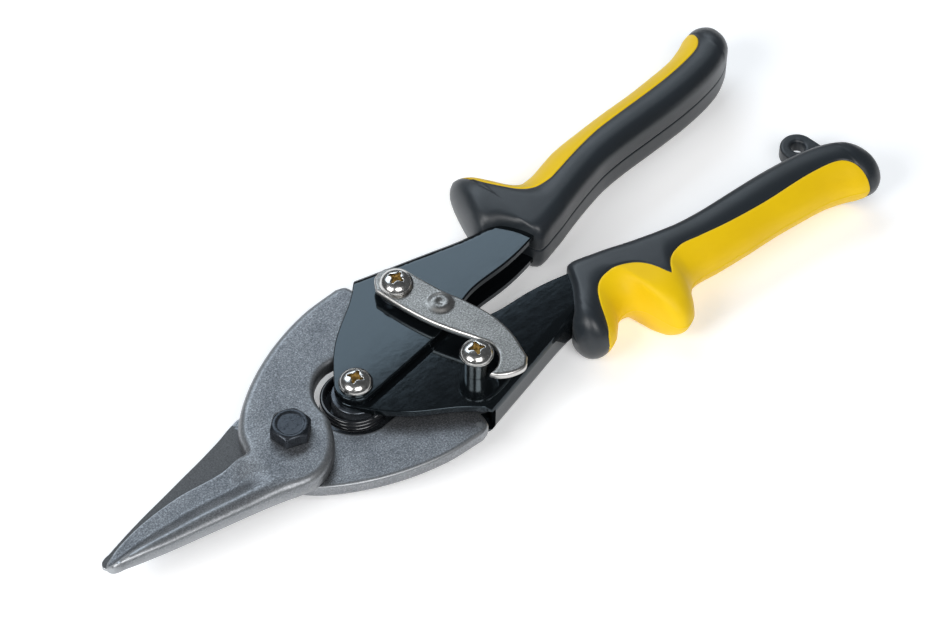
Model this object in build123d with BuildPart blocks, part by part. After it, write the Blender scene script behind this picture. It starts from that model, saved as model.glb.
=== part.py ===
"""Compound-action aviation snips, 250 mm long, latched shut.

The snips lie flat with the jaws towards -X and the handles towards +X. +Z is up. Heights and places
below are counted from the main pivot, where the two blades cross: x along the snips, y across them,
and z from the shear plane between the blades. level() turns them into the part's own frame, whose
origin is under the middle of the closed snips, on the surface they lie on.
"""

import os
from math import atan2, cos, degrees, hypot, radians, sin

from build123d import *

os.makedirs("parts", exist_ok=True)

# Overall size and the four pivots
OVERALL_LENGTH = 250.0
TIP_REACH = 61.25  # main pivot to blade tip
HANDLE_END = OVERALL_LENGTH - TIP_REACH
CENTRE_PIVOT = (22.3, 0.0)  # handle to handle
TAIL_PIVOT = (50.6, 16.4)  # upper blade's tail to left handle
CATCH_PIVOT = (50.6, -16.4)  # lower blade's tail to right handle

# Blades
BLADE_THICKNESS = 5.0
SHEAR_GAP = 0.1
BLADE_TOP = BLADE_THICKNESS
NOTCH_RADIUS = 11.3  # clears the spring round the centre pivot
TAIL_END_RADIUS = 8.5
SHOULDER_X = 44.2
EDGE_LAND = 2.8  # height of the wall behind the cutting edge

# Handle frames, folded from sheet
SHEET = 2.0
CHANNEL_HEIGHT = 11.5
LEFT_FRAME_TOP = 7.1
LEFT_FRAME_BOTTOM = LEFT_FRAME_TOP - CHANNEL_HEIGHT
RIGHT_FRAME_TOP = -LEFT_FRAME_BOTTOM
RIGHT_FRAME_BOTTOM = -LEFT_FRAME_TOP
FRAME_TIP_RADIUS = 5.8
FOLD_RADIUS = 3.0
FRAME_EDGE_RADIUS = 0.4
WEB_FRONT_X = 46.8
FRAME_END_X = 172.0

# Grips
GRIP_HALF_THICKNESS = 9.2
GRIP_MIDDLE = (LEFT_FRAME_TOP + LEFT_FRAME_BOTTOM) / 2
GRIP_EDGE_RADIUS = 3.4
OUTER_BULGE = 12.6
GRIP_FIT = 0.1
GUARD_REACH = 40.0
LUG_CENTRE = (176.8, -13.6)
LUG_RADIUS = 5.2
LUG_HOLE_RADIUS = 2.0
LUG_THICKNESS = 4.6

# Fasteners
BOLT_RADIUS = 3.0
BOLT_FLATS = 10.0
BOLT_HEAD_HEIGHT = 3.8
SCREW_RADIUS = 2.5
SCREW_HEAD_RADIUS = 4.65
SCREW_HEAD_HEIGHT = 3.0
RUNNING_FIT = 0.05
OPEN_PIVOT_FIT = 0.45
NUT_FLATS = 8.0
NUT_HEIGHT = 2.9
BOLT_WASHER = 0.9
BOLT_NUT_HEIGHT = 4.0

# Latch
LATCH_THICKNESS = 2.0
LATCH_BOTTOM = 9.2
LATCH_TOP = LATCH_BOTTOM + LATCH_THICKNESS
CATCH_HEAD_SEAT = 11.5
CATCH_SLEEVE_RADIUS = 3.1
DIMPLE_CENTRE = (55.1, 3.5)
DIMPLE_RADIUS = 4.0
DIMPLE_HEIGHT = 0.8

# Return spring
WIRE_RADIUS = 0.67
COIL_RADIUS = 8.8
COIL_PITCH = 1.37
COIL_FULL_TURNS = 2
BUSH_RADIUS = 6.7
SPRING_CUP_RADIUS = 10.2
SPACER_RADIUS = 5.0
LATCH_SPACER_RADIUS = 4.4

PIVOT_X = TIP_REACH - OVERALL_LENGTH / 2
PIVOT_Z = GRIP_MIDDLE + GRIP_HALF_THICKNESS
TURNED_OVER = Axis((PIVOT_X, 0, PIVOT_Z), (1, 0, 0))


def level(z):
    """The horizontal plane at height z, with its origin on the main pivot's axis."""
    return Plane(origin=(PIVOT_X, 0, PIVOT_Z + z))


def on_circle(centre, radius, angle):
    """The point at an angle in degrees on a circle."""
    return (centre[0] + radius * cos(radians(angle)), centre[1] + radius * sin(radians(angle)))


def prism(outline, low, high):
    """A face in the plan, drawn at the shear plane, raised between two heights."""
    with BuildPart(mode=Mode.PRIVATE) as block:
        with BuildSketch(level(low)):
            add(outline)
        extrude(amount=high - low)
    return block.part


def outline_of(*edges):
    """A closed face made from edges that join end to end."""
    with BuildSketch(mode=Mode.PRIVATE) as face:
        with BuildLine():
            for edge in edges:
                add(edge)
        make_face()
    return face.sketch


def washer(centre, hole, radius, low, high):
    """A flat ring with its outer edges eased."""
    with BuildPart() as ring:
        with BuildSketch(level(low)):
            with Locations(centre):
                Circle(radius)
                Circle(hole, mode=Mode.SUBTRACT)
        extrude(amount=high - low)
        outer = ring.edges().filter_by(GeomType.CIRCLE).group_by(SortBy.RADIUS)[-1]
        chamfer(outer, length=0.12)
    return ring


def hex_nut(centre, hole, flats, low, high, turn=0.0):
    """A hexagon nut whose corners are turned off at both faces."""
    with BuildPart() as nut:
        with BuildSketch(level(low)):
            with Locations(centre):
                RegularPolygon(flats / 2, 6, major_radius=False, rotation=turn)
                Circle(hole, mode=Mode.SUBTRACT)
        extrude(amount=high - low)
        with BuildSketch(level(low)):
            with Locations(centre):
                Circle(flats / 2 * 1.11)
        extrude(amount=high - low, mode=Mode.INTERSECT)
    return nut


def pan_screw(centre, seat, end):
    """A Phillips pan-head screw with its head's underside at seat and its shank down to end."""
    axis_x = PIVOT_X + centre[0]
    crown = SCREW_HEAD_HEIGHT
    with BuildPart() as screw:
        with BuildSketch(Plane(origin=(axis_x, centre[1], PIVOT_Z), x_dir=(1, 0, 0), z_dir=(0, -1, 0))):
            with BuildLine():
                Polyline((0, end), (SCREW_RADIUS - 0.4, end), (SCREW_RADIUS, end + 0.4),
                         (SCREW_RADIUS, seat), (SCREW_HEAD_RADIUS - 0.3, seat))
                Line((SCREW_HEAD_RADIUS - 0.3, seat), (SCREW_HEAD_RADIUS, seat + 0.5))
                Spline((SCREW_HEAD_RADIUS, seat + 0.5), (SCREW_HEAD_RADIUS * 0.72, seat + crown * 0.8),
                       (0, seat + crown), tangents=[(0, 1), (-1, 0)])
                Line((0, seat + crown), (0, end))
            make_face()
        revolve(axis=Axis((axis_x, centre[1], 0), (0, 0, 1)))
        with BuildSketch(level(seat + crown)):
            with Locations(centre):
                Rectangle(5.0, 1.2, rotation=20)
                Rectangle(1.2, 5.0, rotation=20)
        extrude(amount=-1.9, mode=Mode.SUBTRACT)
    return screw


# --- Blades: one forging, used twice, turned over ---

jaw_back = Spline((-57.6, -3.3), (-46, -5.8), (-34, -8.3), (-13.6, -13.6))
boss_edge = Spline((-13.6, -13.6), (-9.3, -15.3), (-5, -15.9), (-1.2, -15.5), (5.2, -11.6), (10.6, -3.4),
                   tangents=[(4, -1.5), (2.2, 5.2)])
notch_start = on_circle(CENTRE_PIVOT, NOTCH_RADIUS, 185)
notch_end = on_circle(CENTRE_PIVOT, NOTCH_RADIUS, 94)
tail_corner = on_circle(TAIL_PIVOT, TAIL_END_RADIUS, 268)
tail_neck = on_circle(TAIL_PIVOT, TAIL_END_RADIUS, 135)
blade_outline = outline_of(
    jaw_back,
    boss_edge,
    Line((10.6, -3.4), notch_start),
    ThreePointArc(notch_start, on_circle(CENTRE_PIVOT, NOTCH_RADIUS, 140), notch_end),
    Spline(notch_end, (34, 10.2), tail_corner, tangents=[(1, -0.07), (1, -0.035)]),
    ThreePointArc(tail_corner, on_circle(TAIL_PIVOT, TAIL_END_RADIUS, 20), tail_neck),
    Line(tail_neck, (SHOULDER_X, 27.2)),
    ThreePointArc((SHOULDER_X, 27.2), (43.2, 29.6), (40.6, 30.7)),
    Spline((40.6, 30.7), (28, 29.8), (13.4, 25.7), (0, 18.7), (-9.8, 10.2), (-12.6, 3.4),
           tangents=[(-1, 0.05), (-0.1, -1)]),
    Spline((-12.6, 3.4), (-22, 3.3), (-34, 4.6), (-45.8, 4.1), (-58.6, 0.6),
           tangents=[(-1, -0.15), (-1, -0.33)]),
    ThreePointArc((-58.6, 0.6), (-TIP_REACH, -1.9), (-57.6, -3.3)),
)

ridge_front = Vector(-60.4, -3.0)
ridge_rear = Vector(-15.0, -10.7)
ridge_run = (ridge_rear - ridge_front).normalized()
across_jaw = Plane(
    origin=(PIVOT_X + ridge_rear.X, ridge_rear.Y, PIVOT_Z),
    x_dir=(-ridge_run.Y, ridge_run.X, 0),
    z_dir=(ridge_run.X, ridge_run.Y, 0),
)

with BuildPart() as upper_blade:
    add(prism(blade_outline, SHEAR_GAP / 2, BLADE_TOP))
    with BuildSketch(level(0)):
        Circle(BOLT_RADIUS + RUNNING_FIT)
        with Locations(TAIL_PIVOT):
            Circle(SCREW_RADIUS + RUNNING_FIT)
    extrude(amount=BLADE_TOP, mode=Mode.SUBTRACT)
    # The fluted relief between the back ridge and the cutting edge
    with BuildSketch(across_jaw):
        with BuildLine():
            Polyline((1.6, BLADE_TOP + 1), (1.6, BLADE_TOP), (3.2, 3.9))
            Spline((3.2, 3.9), (5.2, 2.9), (8, EDGE_LAND), tangents=[(1, -0.8), (1, 0)])
            Polyline((8, EDGE_LAND), (14, EDGE_LAND), (14, BLADE_TOP + 1), (1.6, BLADE_TOP + 1))
        make_face()
    extrude(amount=-(TIP_REACH - 10), mode=Mode.SUBTRACT)

with BuildPart() as lower_blade:
    add(upper_blade.part.rotate(TURNED_OVER, 180))

# --- Main pivot ---

with BuildPart() as pivot_bolt:
    with BuildSketch(level(BLADE_TOP + RUNNING_FIT)):
        RegularPolygon(BOLT_FLATS / 2, 6, major_radius=False, rotation=10)
    extrude(amount=BOLT_HEAD_HEIGHT)
    with BuildSketch(level(BLADE_TOP + RUNNING_FIT)):
        Circle(BOLT_FLATS / 2 * 1.12)
    extrude(amount=BOLT_HEAD_HEIGHT, mode=Mode.INTERSECT)
    with BuildSketch(level(BLADE_TOP + RUNNING_FIT)):
        Circle(BOLT_RADIUS)
    extrude(amount=-(2 * BLADE_THICKNESS + BOLT_WASHER + BOLT_NUT_HEIGHT))

washer_top = -BLADE_TOP
pivot_washer = washer((0, 0), BOLT_RADIUS + RUNNING_FIT, 6.2, washer_top - BOLT_WASHER, washer_top)
pivot_nut = hex_nut((0, 0), BOLT_RADIUS, BOLT_FLATS, washer_top - BOLT_WASHER - BOLT_NUT_HEIGHT,
                    washer_top - BOLT_WASHER, turn=18)

# --- Handle frames: one folded channel, used twice, the right one turned over ---

frame_tip_rear = on_circle(CENTRE_PIVOT, FRAME_TIP_RADIUS, 262)
frame_tip_front = on_circle(CENTRE_PIVOT, FRAME_TIP_RADIUS, 145)
web_corner = (45.8, 28.75)
front_edge = Spline(frame_tip_front, (25, 12.4), (32, 18), (39.5, 23), web_corner,
                    tangents=[(0.62, 0.78), (0.7, 0.7)])


def web_side(shift):
    """The channel's outer side in the plan, moved outwards by shift."""
    points = [web_corner, (69, 22.8), (84, 19.6), (104, 20.6), (130, 24.2), (FRAME_END_X, 27.0)]
    return Spline(*[(x, y + shift) for x, y in points], tangents=[(0.97, -0.26), (1, 0.05)])


def open_side(shift):
    """The channel's open inner side in the plan, moved inwards by shift."""
    points = [(FRAME_END_X, 21.0), (140, 18.4), (112, 13.0), (91, 6.9), (78, 4.9), (67, 4.1), (54, -0.6),
              (40, -3.3), frame_tip_rear]
    return Spline(*[(x, y - shift) for x, y in points], tangents=[(-1, -0.06), (-1, -0.12)])


frame_outline = outline_of(
    ThreePointArc(frame_tip_rear, on_circle(CENTRE_PIVOT, FRAME_TIP_RADIUS, 200), frame_tip_front),
    front_edge,
    web_side(0),
    Line((FRAME_END_X, 27.0), (FRAME_END_X, 21.0)),
    open_side(0),
)
inside_of_web = outline_of(
    Polyline((WEB_FRONT_X, 40), (WEB_FRONT_X, 26.45)),
    Spline((WEB_FRONT_X, 26.45), (68.5, 20.8), (84, 17.6), (104, 18.6), (130, 22.2), (FRAME_END_X + 1, 25.0),
           tangents=[(0.97, -0.26), (1, 0.05)]),
    Polyline((FRAME_END_X + 1, 25.0), (FRAME_END_X + 1, -10), (10, -10), (10, 40), (WEB_FRONT_X, 40)),
)



def is_fold(edge):
    """The web side's long edges, which lie beyond the open side's."""
    return edge.length > 100 and (edge @ 0.5).Y > 17


with BuildPart() as channel:
    add(prism(frame_outline, LEFT_FRAME_BOTTOM, LEFT_FRAME_TOP))
    folds = channel.edges().filter_by(is_fold).sort_by(Axis.Z)
    fillet([folds[0], folds[-1]], radius=FOLD_RADIUS)
    add(prism(inside_of_web, LEFT_FRAME_BOTTOM + SHEET, LEFT_FRAME_TOP - SHEET), mode=Mode.SUBTRACT)
    outer_faces = channel.faces().filter_by(Plane.XY).sort_by(Axis.Z)
    rims = [edge for face in (outer_faces[0], outer_faces[-1]) for edge in face.edges() if not is_fold(edge)]
    fillet(rims, radius=FRAME_EDGE_RADIUS)

with BuildPart() as left_frame:
    add(channel.part)
    with BuildSketch(level(LEFT_FRAME_BOTTOM)):
        with Locations(CENTRE_PIVOT, TAIL_PIVOT):
            Circle(SCREW_RADIUS + RUNNING_FIT)
    extrude(amount=CHANNEL_HEIGHT, mode=Mode.SUBTRACT)

with BuildPart() as right_frame:
    add(channel.part.rotate(TURNED_OVER, 180))
    with BuildSketch(level(RIGHT_FRAME_BOTTOM)):
        with Locations(CENTRE_PIVOT):
            Circle(SCREW_RADIUS + OPEN_PIVOT_FIT)
        with Locations(CATCH_PIVOT):
            Circle(SCREW_RADIUS + RUNNING_FIT)
    extrude(amount=CHANNEL_HEIGHT, mode=Mode.SUBTRACT)

# --- Grips: black rubber body with a yellow inlay on the outside, pushed over each channel ---


def grip_shape(stations, side):
    """A grip lofted through D-shaped sections: (x, inner side, outer side, half thickness) each."""
    middle = side * GRIP_MIDDLE
    with BuildPart() as whole:
        for x, inner, outer, half in stations:
            corner = min(GRIP_EDGE_RADIUS, half * 0.6, (outer - inner) * 0.3)
            bulge = min(OUTER_BULGE, (outer - inner - corner) * 0.9)
            across = Plane(origin=(PIVOT_X + x, 0, PIVOT_Z + middle), x_dir=(0, side, 0), z_dir=(side, 0, 0))
            with BuildSketch(across):
                with BuildLine():
                    Line((inner, corner - half), (inner, half - corner))
                    RadiusArc((inner, half - corner), (inner + corner, half), corner)
                    Line((inner + corner, half), (outer - bulge, half))
                    EllipticalCenterArc((outer - bulge, 0), bulge, half, start_angle=-90, arc_size=180)
                    Line((outer - bulge, -half), (inner + corner, -half))
                    RadiusArc((inner + corner, -half), (inner, corner - half), corner)
                make_face()
        loft(ruled=True)
    return whole.part


def grip_pair(shape, inlay_area, side, lug=None):
    """The black body and the yellow inlay of one grip; side is +1 on the left."""
    pocket_web, pocket_open = web_side(GRIP_FIT), open_side(GRIP_FIT)
    pocket_outline = outline_of(
        pocket_web,
        Line(pocket_web @ 1, pocket_open @ 0),
        pocket_open,
        Line(pocket_open @ 1, pocket_web @ 0),
    )
    pocket = prism(pocket_outline, LEFT_FRAME_BOTTOM - GRIP_FIT, LEFT_FRAME_TOP + GRIP_FIT)
    if side < 0:
        pocket = pocket.rotate(TURNED_OVER, 180)
    inlay_block = prism(inlay_area, -2 * GRIP_HALF_THICKNESS, 2 * GRIP_HALF_THICKNESS)
    black = shape - inlay_block - pocket
    yellow = (shape & inlay_block) - pocket
    if lug:
        black = black + (lug - shape)
    with BuildPart() as body:
        add(black)
    with BuildPart() as inlay:
        add(yellow)
    return body, inlay


grip_rear = [
    (130, 14.6, 30.3, 9.2),
    (150, 15.9, 31.3, 9.2),
    (166, 17.1, 32.8, 9.2),
    (177, 19.4, 36.2, 9.2),
    (183, 22.2, 38.4, 8.6),
    (186.8, 25.2, 36.6, 6.6),
    (HANDLE_END, 28.4, 33.6, 3.0),
]
left_stations = [
    (83.0, 18.4, 22.4, 3.4),
    (84.6, 17.8, 27.0, 6.6),
    (87.0, 16.4, 34.6, 8.2),
    (89.4, 14.0, 38.4, 9.0),
    (91.6, 10.6, GUARD_REACH, 9.2),
    (93.4, 5.4, 38.8, 9.2),
    (96.4, 5.7, 34.4, 9.2),
    (100.0, 6.5, 29.0, 9.2),
    (104.5, 8.0, 26.3, 9.2),
    (110.0, 9.8, 27.0, 9.2),
    (120.0, 12.6, 29.4, 9.2),
] + grip_rear
right_stations = [
    (81.0, 20.0, 26.0, 5.0),
    (83.0, 18.6, 29.6, 7.8),
    (86.6, 15.6, 30.9, 9.2),
    (90.0, 11.8, 29.6, 9.2),
    (93.4, 5.4, 26.4, 9.2),
    (97.0, 5.8, 25.0, 9.2),
    (101.4, 6.9, 27.2, 9.2),
    (103.4, 7.6, 35.2, 9.2),
    (107.2, 8.8, GUARD_REACH, 9.2),
    (112.0, 10.3, 37.4, 9.2),
    (118.0, 12.0, 30.4, 9.2),
] + grip_rear

left_inlay_area = outline_of(
    Spline((88, 45), (92.5, 33), (97, 25.1), (103, 19.8), (109, 18.4), (117.4, 20.4), (133, 23.7),
           (160, 25.4), (172, 27.2), (179, 30), (183, 45)),
    Line((183, 45), (88, 45)),
)
right_inlay_area = outline_of(
    Spline((83, -45), (86.1, -31), (89.4, -24.6), (94, -17.6), (100.2, -15.7), (106.2, -17.9),
           (110.2, -23), (111.9, -27.7)),
    Spline((111.9, -27.7), (115.8, -23.6), (121.3, -21.7), (133, -23.7), (152.3, -25.8), (172.3, -27.3),
           (180, -31), (183, -45)),
    Line((183, -45), (83, -45)),
)
with BuildPart() as hang_lug:
    with BuildSketch(level(-GRIP_MIDDLE - LUG_THICKNESS / 2)):
        with Locations(LUG_CENTRE):
            Circle(LUG_RADIUS)
        with Locations((LUG_CENTRE[0], LUG_CENTRE[1] - LUG_RADIUS)):
            Rectangle(2 * LUG_RADIUS, 2 * LUG_RADIUS)
        with Locations(LUG_CENTRE):
            Circle(LUG_HOLE_RADIUS, mode=Mode.SUBTRACT)
    extrude(amount=LUG_THICKNESS)
left_grip, left_grip_inlay = grip_pair(grip_shape(left_stations, 1), left_inlay_area, 1)
right_grip, right_grip_inlay = grip_pair(grip_shape(right_stations, -1), right_inlay_area, -1, hang_lug.part)

# --- Centre pivot between the handles: it rides with the left frame ---

gap_between_plates = LEFT_FRAME_TOP - SHEET - RIGHT_FRAME_TOP
centre_screw = pan_screw(CENTRE_PIVOT, LEFT_FRAME_TOP, RIGHT_FRAME_BOTTOM - NUT_HEIGHT)
centre_nut = hex_nut(CENTRE_PIVOT, SCREW_RADIUS, NUT_FLATS, RIGHT_FRAME_BOTTOM - NUT_HEIGHT,
                     RIGHT_FRAME_BOTTOM - RUNNING_FIT, turn=12)
centre_upper_washer = washer(CENTRE_PIVOT, SCREW_RADIUS, 5.4, RIGHT_FRAME_TOP + RUNNING_FIT,
                             RIGHT_FRAME_TOP + gap_between_plates)
centre_lower_washer = washer(CENTRE_PIVOT, SCREW_RADIUS, SPRING_CUP_RADIUS,
                             LEFT_FRAME_BOTTOM - gap_between_plates + RUNNING_FIT, LEFT_FRAME_BOTTOM)
spring_bush = washer(CENTRE_PIVOT, SCREW_RADIUS, BUSH_RADIUS, LEFT_FRAME_BOTTOM + SHEET,
                     RIGHT_FRAME_TOP - SHEET - RUNNING_FIT)

# --- Return spring: a torsion coil whose legs push the two tail spacers apart ---

leg_target_y = TAIL_PIVOT[1] - SPACER_RADIUS - WIRE_RADIUS - RUNNING_FIT
reach = hypot(TAIL_PIVOT[0] - CENTRE_PIVOT[0], leg_target_y)
leg_angle = degrees(atan2(leg_target_y, TAIL_PIVOT[0] - CENTRE_PIVOT[0]))
leg_length = (reach ** 2 - COIL_RADIUS ** 2) ** 0.5 + SPACER_RADIUS * 0.6
start_angle = leg_angle + degrees(atan2((reach ** 2 - COIL_RADIUS ** 2) ** 0.5, COIL_RADIUS))
coil_turns = COIL_FULL_TURNS + (360 - 2 * start_angle) / 360
coil_height = coil_turns * COIL_PITCH
spring_axis = Plane(
    origin=(PIVOT_X + CENTRE_PIVOT[0], CENTRE_PIVOT[1], PIVOT_Z - coil_height / 2),
    x_dir=(cos(radians(start_angle)), sin(radians(start_angle)), 0),
    z_dir=(0, 0, 1),
)
coil = spring_axis.from_local_coords(Helix(pitch=COIL_PITCH, height=coil_height, radius=COIL_RADIUS))
start_run = Vector((coil % 0).X, (coil % 0).Y, 0).normalized()
end_run = Vector((coil % 1).X, (coil % 1).Y, 0).normalized()
left_leg_tip = coil @ 0 - start_run * leg_length
right_leg_tip = coil @ 1 + end_run * leg_length
with BuildPart() as torsion_spring:
    with BuildLine():
        Line(left_leg_tip, coil @ 0)
        add(coil)
        Line(coil @ 1, right_leg_tip)
    with BuildSketch(Plane(origin=left_leg_tip, z_dir=start_run)):
        Circle(WIRE_RADIUS)
    sweep(is_frenet=True)

# --- Left tail pivot: screw, latch spacer, channel spacer and nut ---

left_tail_screw = pan_screw(TAIL_PIVOT, LATCH_TOP + RUNNING_FIT, LEFT_FRAME_BOTTOM - NUT_HEIGHT)
left_tail_nut = hex_nut(TAIL_PIVOT, SCREW_RADIUS, NUT_FLATS, LEFT_FRAME_BOTTOM - NUT_HEIGHT,
                        LEFT_FRAME_BOTTOM, turn=40)
left_tail_spacer = washer(TAIL_PIVOT, SCREW_RADIUS, SPACER_RADIUS, LEFT_FRAME_BOTTOM + SHEET,
                          SHEAR_GAP / 2 - RUNNING_FIT)
latch_spacer = washer(TAIL_PIVOT, SCREW_RADIUS, LATCH_SPACER_RADIUS, LEFT_FRAME_TOP,
                      LATCH_BOTTOM - RUNNING_FIT)

# --- Right tail pivot: its screw stands proud, and the latch hooks round the sleeve ---

right_tail_screw = pan_screw(CATCH_PIVOT, CATCH_HEAD_SEAT, RIGHT_FRAME_BOTTOM - NUT_HEIGHT)
right_tail_nut = hex_nut(CATCH_PIVOT, SCREW_RADIUS, NUT_FLATS, RIGHT_FRAME_BOTTOM - NUT_HEIGHT,
                         RIGHT_FRAME_BOTTOM, turn=5)
right_tail_spacer = washer(CATCH_PIVOT, SCREW_RADIUS, SPACER_RADIUS, RUNNING_FIT - SHEAR_GAP / 2,
                           RIGHT_FRAME_TOP - SHEET)
catch_sleeve = washer(CATCH_PIVOT, SCREW_RADIUS, CATCH_SLEEVE_RADIUS, RIGHT_FRAME_TOP, CATCH_HEAD_SEAT)

# --- Latch ---

latch_outline = outline_of(
    Spline((45.0, 18.4), (47.6, 22.0), (51.4, 22.9), (55.2, 20.4), (56.9, 14), (58.6, 7), (61, 0), (63.1, -9),
           (62.9, -17), (60.6, -25.6)),
    Spline((60.6, -25.6), (57.8, -27.9), (53.6, -27.3), (50.2, -25.2), (49.0, -23.4),
           tangents=[(-0.45, -1), (-0.5, 1)]),
    Spline((49.0, -23.4), (52.4, -22.6), (55.4, -19.8), (56.2, -16.6), (54.6, -12.4), (51.4, -5.6),
           (48.9, 0.5), (46.6, 9),
           (45.0, 18.4), tangents=[(1, 0.15), (0, 1)]),
)
with BuildPart() as latch:
    add(prism(latch_outline, LATCH_BOTTOM, LATCH_TOP))
    with BuildSketch(level(LATCH_BOTTOM)):
        with Locations(TAIL_PIVOT):
            Circle(SCREW_RADIUS + RUNNING_FIT)
    extrude(amount=LATCH_THICKNESS, mode=Mode.SUBTRACT)
    with BuildSketch(level(LATCH_TOP)):
        with Locations(DIMPLE_CENTRE):
            Circle(DIMPLE_RADIUS)
    extrude(amount=DIMPLE_HEIGHT, taper=45)
    with BuildSketch(level(LATCH_BOTTOM)):
        with Locations(DIMPLE_CENTRE):
            Circle(DIMPLE_RADIUS - 0.4)
    extrude(amount=DIMPLE_HEIGHT, taper=45, mode=Mode.SUBTRACT)

pieces = {
    "upper_blade": upper_blade,
    "lower_blade": lower_blade,
    "pivot_bolt": pivot_bolt,
    "pivot_washer": pivot_washer,
    "pivot_nut": pivot_nut,
    "left_frame": left_frame,
    "right_frame": right_frame,
    "left_grip": left_grip,
    "left_grip_inlay": left_grip_inlay,
    "right_grip": right_grip,
    "right_grip_inlay": right_grip_inlay,
    "centre_screw": centre_screw,
    "centre_nut": centre_nut,
    "centre_upper_washer": centre_upper_washer,
    "centre_lower_washer": centre_lower_washer,
    "spring_bush": spring_bush,
    "torsion_spring": torsion_spring,
    "left_tail_screw": left_tail_screw,
    "left_tail_nut": left_tail_nut,
    "left_tail_spacer": left_tail_spacer,
    "latch_spacer": latch_spacer,
    "right_tail_screw": right_tail_screw,
    "right_tail_nut": right_tail_nut,
    "right_tail_spacer": right_tail_spacer,
    "catch_sleeve": catch_sleeve,
    "latch": latch,
}
for name, piece in pieces.items():
    piece.part.label = name
    export_step(piece.part, f"parts/{name}.step")
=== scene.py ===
"""Studio scene for the compound-action aviation snips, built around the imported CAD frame."""
import math

import bmesh
import bpy
import numpy as np
from mathutils import Matrix, Vector
from mathutils.geometry import delaunay_2d_cdt


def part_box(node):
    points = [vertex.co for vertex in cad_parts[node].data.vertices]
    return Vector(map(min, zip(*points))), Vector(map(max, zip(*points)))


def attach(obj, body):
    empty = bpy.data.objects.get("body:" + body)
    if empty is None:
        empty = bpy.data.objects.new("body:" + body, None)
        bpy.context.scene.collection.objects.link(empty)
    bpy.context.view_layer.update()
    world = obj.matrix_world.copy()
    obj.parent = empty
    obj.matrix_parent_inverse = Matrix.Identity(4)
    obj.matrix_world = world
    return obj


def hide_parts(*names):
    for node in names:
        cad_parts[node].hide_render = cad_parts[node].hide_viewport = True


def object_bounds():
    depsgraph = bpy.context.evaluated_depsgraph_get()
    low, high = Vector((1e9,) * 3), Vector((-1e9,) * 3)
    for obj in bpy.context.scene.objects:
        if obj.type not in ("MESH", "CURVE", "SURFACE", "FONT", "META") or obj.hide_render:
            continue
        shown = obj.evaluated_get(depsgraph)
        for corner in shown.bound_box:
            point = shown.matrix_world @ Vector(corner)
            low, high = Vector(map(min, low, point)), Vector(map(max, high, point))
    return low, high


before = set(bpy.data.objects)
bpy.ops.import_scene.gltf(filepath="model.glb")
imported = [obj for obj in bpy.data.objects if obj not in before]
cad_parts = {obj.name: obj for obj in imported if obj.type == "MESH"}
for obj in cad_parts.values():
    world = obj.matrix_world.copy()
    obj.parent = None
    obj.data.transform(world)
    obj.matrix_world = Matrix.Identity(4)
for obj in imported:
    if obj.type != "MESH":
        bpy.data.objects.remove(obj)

cad_low, cad_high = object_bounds()
MM = 0.001

# --- Places, read from the frame. Sizes below are in millimetres from the main pivot. ---


def middle_of(node):
    low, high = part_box(node)
    return (low + high) / 2


shear_height = (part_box("upper_blade")[0].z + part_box("lower_blade")[1].z) / 2
PIVOT = Vector((middle_of("pivot_bolt").x, middle_of("pivot_bolt").y, shear_height))


def local(point):
    """A point of the frame in millimetres from the main pivot."""
    return (Vector(point) - PIVOT) / MM


def height_range(node):
    """A node's lowest and highest z, in millimetres from the shear plane."""
    low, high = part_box(node)
    return local(low).z, local(high).z


CENTRE = local(middle_of("spring_bush"))
LEFT_TAIL = local(middle_of("left_tail_spacer"))
RIGHT_TAIL = local(middle_of("right_tail_spacer"))


# --- Small geometry helpers ---


def through(points, per_span=12):
    """A smooth open curve through the points (centripetal Catmull-Rom), without its last point."""
    p = [np.array(q, float) for q in points]
    p = [2 * p[0] - p[1]] + p + [2 * p[-1] - p[-2]]
    out = []
    for a, b, c, d in zip(p, p[1:], p[2:], p[3:]):
        knots = [0.0]
        for e, f in ((a, b), (b, c), (c, d)):
            knots.append(knots[-1] + max(np.linalg.norm(f - e), 1e-6) ** 0.5)
        k0, k1, k2, k3 = knots
        for t in np.linspace(k1, k2, per_span, endpoint=False):
            ab = a + (b - a) * (t - k0) / (k1 - k0)
            bc = b + (c - b) * (t - k1) / (k2 - k1)
            cd = c + (d - c) * (t - k2) / (k3 - k2)
            abc = ab + (bc - ab) * (t - k0) / (k2 - k0)
            bcd = bc + (cd - bc) * (t - k1) / (k3 - k1)
            out.append(abc + (bcd - abc) * (t - k1) / (k2 - k1))
    return out


def arc(centre, radius, start, end, step=6.0):
    """Points on a circular arc from start towards end, in degrees, without the last one."""
    count = max(2, int(abs(end - start) / step))
    turns = np.radians(np.linspace(start, end, count, endpoint=False))
    return [np.array((centre[0] + radius * math.cos(t), centre[1] + radius * math.sin(t))) for t in turns]


def evenly(points, spacing, closed=True):
    """The polyline's points moved to an even spacing."""
    p = np.array(points)
    if closed:
        p = np.vstack([p, p[:1]])
    run = np.concatenate([[0], np.cumsum(np.linalg.norm(np.diff(p, axis=0), axis=1))])
    count = max(8, int(round(run[-1] / spacing)))
    at = np.linspace(0, run[-1], count, endpoint=not closed)
    return np.stack([np.interp(at, run, p[:, k]) for k in range(p.shape[1])], axis=1)


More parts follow.
